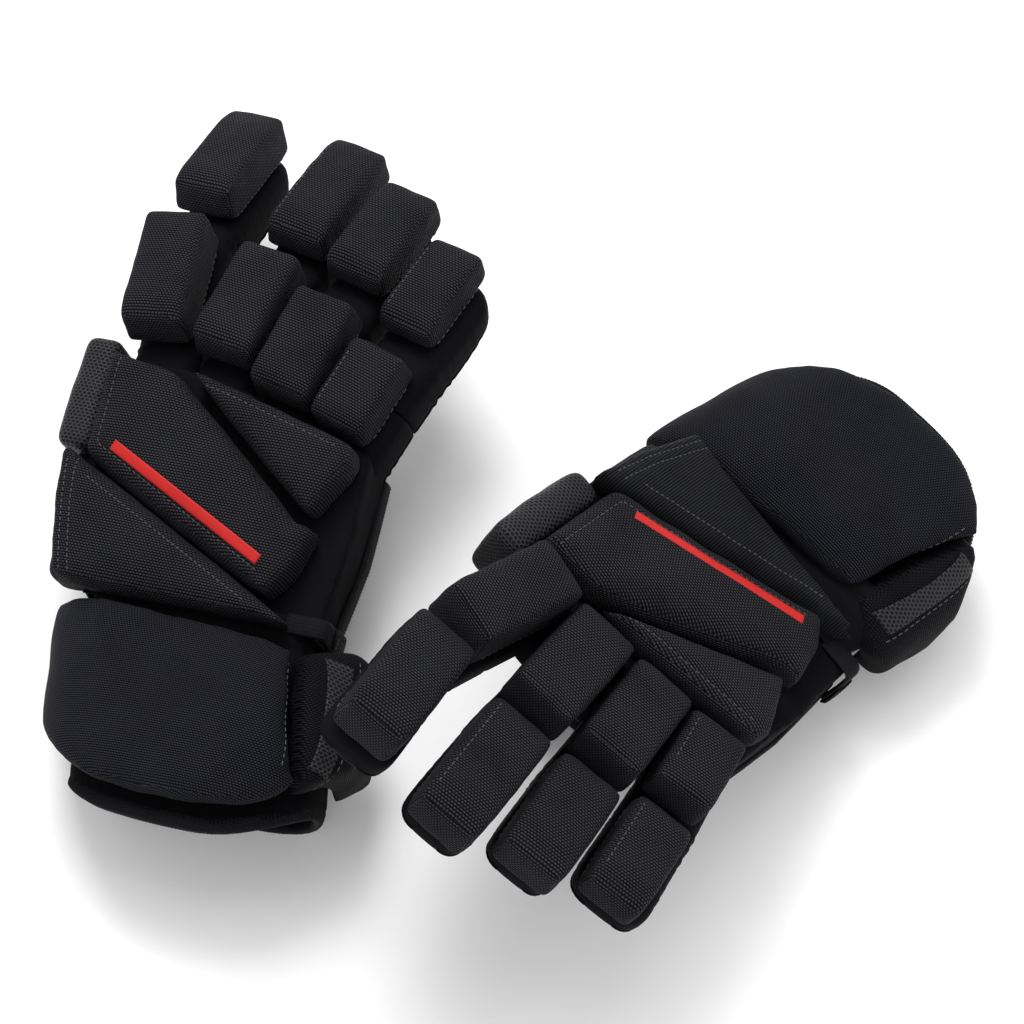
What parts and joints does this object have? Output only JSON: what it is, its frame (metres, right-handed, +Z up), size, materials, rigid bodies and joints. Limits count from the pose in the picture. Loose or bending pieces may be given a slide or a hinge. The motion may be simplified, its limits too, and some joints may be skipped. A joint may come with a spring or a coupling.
{
  "type": "ice hockey gloves",
  "caption": "Pair of padded ice hockey gloves with boxy foam finger rolls, layered backhand pads, wide flared cuffs and bending fingers, lying palm down.",
  "frame": {"origin": "middle of the pair's box, on the surface that the gloves lie on", "axes": "+Z up, +X from the right glove to the left glove; the right glove's fingers point towards +Y and the left glove's towards -Y, each turned by 15 degrees"},
  "size_m": [0.3986, 0.3324, 0.1756],
  "materials": {
    "pad_knit": "woven knit over foam",
    "cuff_knit": "woven knit over foam",
    "finger_cloth": "smooth nylon",
    "backing_cloth": "matt cloth",
    "liner_cloth": "brushed lining",
    "open_mesh": "open mesh",
    "elastic_webbing": "ribbed webbing",
    "palm_leather": "matt synthetic suede",
    "splint_plastic": "moulded"
  },
  "bodies": {
    "right_hand": {"right_palm": "palm_leather", "right_backhand_shell": "backing_cloth", "right_main_backhand_pad": "pad_knit", "right_knuckle_wedge_pad": "pad_knit", "right_lower_hand_pad": "pad_knit", "right_mesh_side_roll": "open_mesh", "right_side_strip_roll": "pad_knit", "right_wrist_strap": "elastic_webbing"},
    "right_cuff": {"right_cuff_pad": "cuff_knit", "right_cuff_wing": "cuff_knit", "right_cuff_liner": "liner_cloth"},
    "right_index_proximal": {"right_index_proximal_sleeve": "finger_cloth", "right_index_proximal_roll": "pad_knit"},
    "right_index_distal": {"right_index_distal_sleeve": "finger_cloth", "right_index_distal_roll": "pad_knit"},
    "right_middle_proximal": {"right_middle_proximal_sleeve": "finger_cloth", "right_middle_proximal_roll": "pad_knit"},
    "right_middle_distal": {"right_middle_distal_sleeve": "finger_cloth", "right_middle_distal_roll": "pad_knit"},
    "right_ring_proximal": {"right_ring_proximal_sleeve": "finger_cloth", "right_ring_proximal_roll": "pad_knit"},
    "right_ring_distal": {"right_ring_distal_sleeve": "finger_cloth", "right_ring_distal_roll": "pad_knit"},
    "right_little_proximal": {"right_little_proximal_sleeve": "finger_cloth", "right_little_proximal_roll": "pad_knit"},
    "right_little_distal": {"right_little_distal_sleeve": "finger_cloth", "right_little_distal_roll": "pad_knit"},
    "right_thumb": {"right_thumb_sleeve": "finger_cloth", "right_thumb_splint": "splint_plastic", "right_thumb_roll": "pad_knit"},
    "left_hand": {"left_palm": "palm_leather", "left_backhand_shell": "backing_cloth", "left_main_backhand_pad": "pad_knit", "left_knuckle_wedge_pad": "pad_knit", "left_lower_hand_pad": "pad_knit", "left_mesh_side_roll": "open_mesh", "left_side_strip_roll": "pad_knit", "left_wrist_strap": "elastic_webbing"},
    "left_cuff": {"left_cuff_pad": "cuff_knit", "left_cuff_wing": "cuff_knit", "left_cuff_liner": "liner_cloth"},
    "left_index_proximal": {"left_index_proximal_sleeve": "finger_cloth", "left_index_proximal_roll": "pad_knit"},
    "left_index_distal": {"left_index_distal_sleeve": "finger_cloth", "left_index_distal_roll": "pad_knit"},
    "left_middle_proximal": {"left_middle_proximal_sleeve": "finger_cloth", "left_middle_proximal_roll": "pad_knit"},
    "left_middle_distal": {"left_middle_distal_sleeve": "finger_cloth", "left_middle_distal_roll": "pad_knit"},
    "left_ring_proximal": {"left_ring_proximal_sleeve": "finger_cloth", "left_ring_proximal_roll": "pad_knit"},
    "left_ring_distal": {"left_ring_distal_sleeve": "finger_cloth", "left_ring_distal_roll": "pad_knit"},
    "left_little_proximal": {"left_little_proximal_sleeve": "finger_cloth", "left_little_proximal_roll": "pad_knit"},
    "left_little_distal": {"left_little_distal_sleeve": "finger_cloth", "left_little_distal_roll": "pad_knit"},
    "left_thumb": {"left_thumb_sleeve": "finger_cloth", "left_thumb_splint": "splint_plastic", "left_thumb_roll": "pad_knit"}
  },
  "joints": [
    {"name": "right_wrist_flex", "type": "hinge", "parent": "right_hand", "child": "right_cuff", "pos_m": [-0.07054, -0.07554, 0.07757], "axis": [-0.9659, -0.2588, 0], "range_deg": [-4, 10], "stiffness_Nm_per_rad": 6},
    {"name": "right_index_knuckle", "type": "hinge", "parent": "right_hand", "child": "right_index_proximal", "pos_m": [-0.14973, 0.02312, 0.04924], "axis": [-0.9215, -0.3433, -0.1817], "range_deg": [-3, 45], "stiffness_Nm_per_rad": 1.5},
    {"name": "right_index_middle_joint", "type": "hinge", "parent": "right_index_proximal", "child": "right_index_distal", "pos_m": [-0.17003, 0.07899, 0.04661], "axis": [-0.9696, -0.1579, -0.1868], "range_deg": [-3, 50], "stiffness_Nm_per_rad": 0.8},
    {"name": "right_middle_knuckle", "type": "hinge", "parent": "right_hand", "child": "right_middle_proximal", "pos_m": [-0.11994, 0.02753, 0.05169], "axis": [-0.9878, -0.0771, -0.135], "range_deg": [-3, 45], "stiffness_Nm_per_rad": 1.5},
    {"name": "right_middle_middle_joint", "type": "hinge", "parent": "right_middle_proximal", "child": "right_middle_distal", "pos_m": [-0.1243, 0.08185, 0.0526], "axis": [-0.9907, -0.0248, -0.1339], "range_deg": [-3, 50], "stiffness_Nm_per_rad": 0.8},
    {"name": "right_ring_knuckle", "type": "hinge", "parent": "right_hand", "child": "right_ring_proximal", "pos_m": [-0.08798, 0.02756, 0.05246], "axis": [-0.9918, -0.0259, -0.1249], "range_deg": [-3, 45], "stiffness_Nm_per_rad": 1.5},
    {"name": "right_ring_middle_joint", "type": "hinge", "parent": "right_ring_proximal", "child": "right_ring_distal", "pos_m": [-0.09031, 0.07735, 0.0606], "axis": [-0.9928, 0.0085, -0.1192], "range_deg": [-3, 50], "stiffness_Nm_per_rad": 0.8},
    {"name": "right_little_knuckle", "type": "hinge", "parent": "right_hand", "child": "right_little_proximal", "pos_m": [-0.05844, 0.02699, 0.05416], "axis": [-0.9924, 0.0596, -0.1074], "range_deg": [0, 45], "stiffness_Nm_per_rad": 1.5},
    {"name": "right_little_middle_joint", "type": "hinge", "parent": "right_little_proximal", "child": "right_little_distal", "pos_m": [-0.05693, 0.06758, 0.06269], "axis": [-0.9931, 0.0254, -0.1145], "range_deg": [-3, 50], "stiffness_Nm_per_rad": 0.8},
    {"name": "right_thumb_swing", "type": "hinge", "parent": "right_hand", "child": "right_thumb", "pos_m": [-0.13162, -0.05567, 0], "axis": [0, 0, -1], "range_deg": [-25, 12], "stiffness_Nm_per_rad": 1},
    {"name": "left_wrist_flex", "type": "hinge", "parent": "left_hand", "child": "left_cuff", "pos_m": [0.1178, 0.07465, 0.07704], "axis": [0.9659, -0.2588, 0], "range_deg": [-4, 10], "stiffness_Nm_per_rad": 6},
    {"name": "left_index_knuckle", "type": "hinge", "parent": "left_hand", "child": "left_index_proximal", "pos_m": [0.04545, -0.02023, 0.0873], "axis": [0.8769, -0.4315, -0.2117], "range_deg": [0, 22], "stiffness_Nm_per_rad": 1.5},
    {"name": "left_index_middle_joint", "type": "hinge", "parent": "left_index_proximal", "child": "left_index_distal", "pos_m": [0.02591, -0.07137, 0.1106], "axis": [0.9364, -0.1115, -0.3329], "range_deg": [0, 42], "stiffness_Nm_per_rad": 0.8},
    {"name": "left_middle_knuckle", "type": "hinge", "parent": "left_hand", "child": "left_middle_proximal", "pos_m": [0.07297, -0.02748, 0.07715], "axis": [0.9416, -0.1722, -0.2895], "range_deg": [-3, 45], "stiffness_Nm_per_rad": 1.5},
    {"name": "left_middle_middle_joint", "type": "hinge", "parent": "left_middle_proximal", "child": "left_middle_distal", "pos_m": [0.06833, -0.07943, 0.09294], "axis": [0.9447, -0.122, -0.3043], "range_deg": [-3, 50], "stiffness_Nm_per_rad": 0.8},
    {"name": "left_ring_knuckle", "type": "hinge", "parent": "left_hand", "child": "left_ring_proximal", "pos_m": [0.10215, -0.03055, 0.06445], "axis": [0.9456, -0.1214, -0.3018], "range_deg": [0, 45], "stiffness_Nm_per_rad": 1.5},
    {"name": "left_ring_middle_joint", "type": "hinge", "parent": "left_ring_proximal", "child": "left_ring_distal", "pos_m": [0.10005, -0.07929, 0.0775], "axis": [0.9465, -0.0877, -0.3106], "range_deg": [-3, 50], "stiffness_Nm_per_rad": 0.8},
    {"name": "left_little_knuckle", "type": "hinge", "parent": "left_hand", "child": "left_little_proximal", "pos_m": [0.12959, -0.03281, 0.05359], "axis": [0.9466, -0.0362, -0.3204], "range_deg": [0, 45], "stiffness_Nm_per_rad": 1.5},
    {"name": "left_little_middle_joint", "type": "hinge", "parent": "left_little_proximal", "child": "left_little_distal", "pos_m": [0.13129, -0.07315, 0.06319], "axis": [0.9475, -0.0701, -0.3121], "range_deg": [-3, 50], "stiffness_Nm_per_rad": 0.8},
    {"name": "left_thumb_swing", "type": "hinge", "parent": "left_hand", "child": "left_thumb", "pos_m": [0.05438, 0.05127, 0.0236], "axis": [0.1114, -0.3234, 0.9397], "range_deg": [-25, 12], "stiffness_Nm_per_rad": 1},
    {"name": "left_glove_apart", "type": "slide", "parent": "right_hand", "child": "left_hand", "axis": [1, 0, 0], "range_m": [0, 0.15]}
  ]
}
